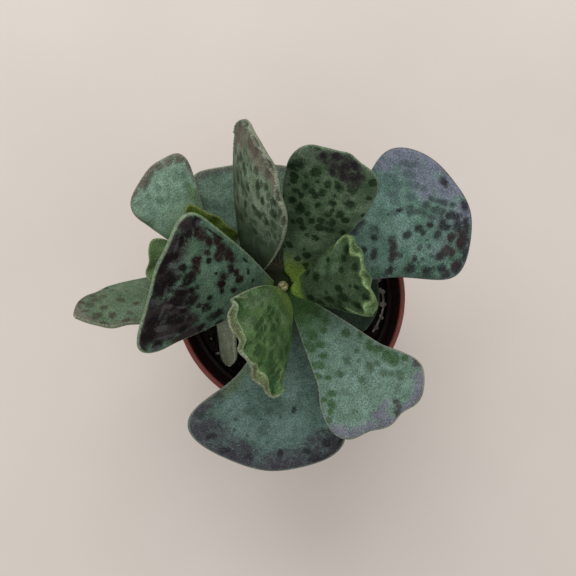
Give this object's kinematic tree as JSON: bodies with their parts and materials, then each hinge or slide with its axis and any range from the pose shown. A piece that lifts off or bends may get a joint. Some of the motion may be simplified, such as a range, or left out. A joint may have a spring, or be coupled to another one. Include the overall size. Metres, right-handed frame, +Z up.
{
  "type": "potted succulent plant",
  "caption": "Small succulent in a tapered plastic nursery pot of soil, with thick wedge-shaped leaves whose tips are waved, spotted and purple-edged, on a main stem and a side stem.",
  "frame": {"origin": "centre of the pot's flat underside", "axes": "+Z up out of the pot, +X towards the large spotted leaf on the right, +Y towards the leaf that stands on edge"},
  "size_m": [0.0956, 0.082, 0.0963],
  "materials": {
    "pot": "satin moulded plastic, scuffed along the rim",
    "soil": "moist peat with grit",
    "stem": "matte bark, greenish towards the tip",
    "leaf": "waxy succulent skin with a faint bloom and dark spots",
    "young_leaf": "waxy succulent skin, fresh green with a pale crest"
  },
  "bodies": {
    "root": {"pot": "pot", "soil": "soil", "main_stem": "stem", "side_stem": "stem", "leaf_west": "leaf", "leaf_north_edgewise": "leaf", "leaf_north_east": "leaf", "leaf_east": "leaf", "leaf_south_east": "leaf", "leaf_south": "leaf", "leaf_north_low": "leaf", "leaf_east_low": "leaf", "leaf_young_east": "young_leaf", "leaf_young_south_west": "young_leaf", "side_leaf_north_west": "leaf", "side_leaf_west": "leaf", "side_leaf_young_north": "young_leaf", "side_leaf_young_west": "young_leaf", "side_leaf_low": "leaf"}
  },
  "joints": []
}
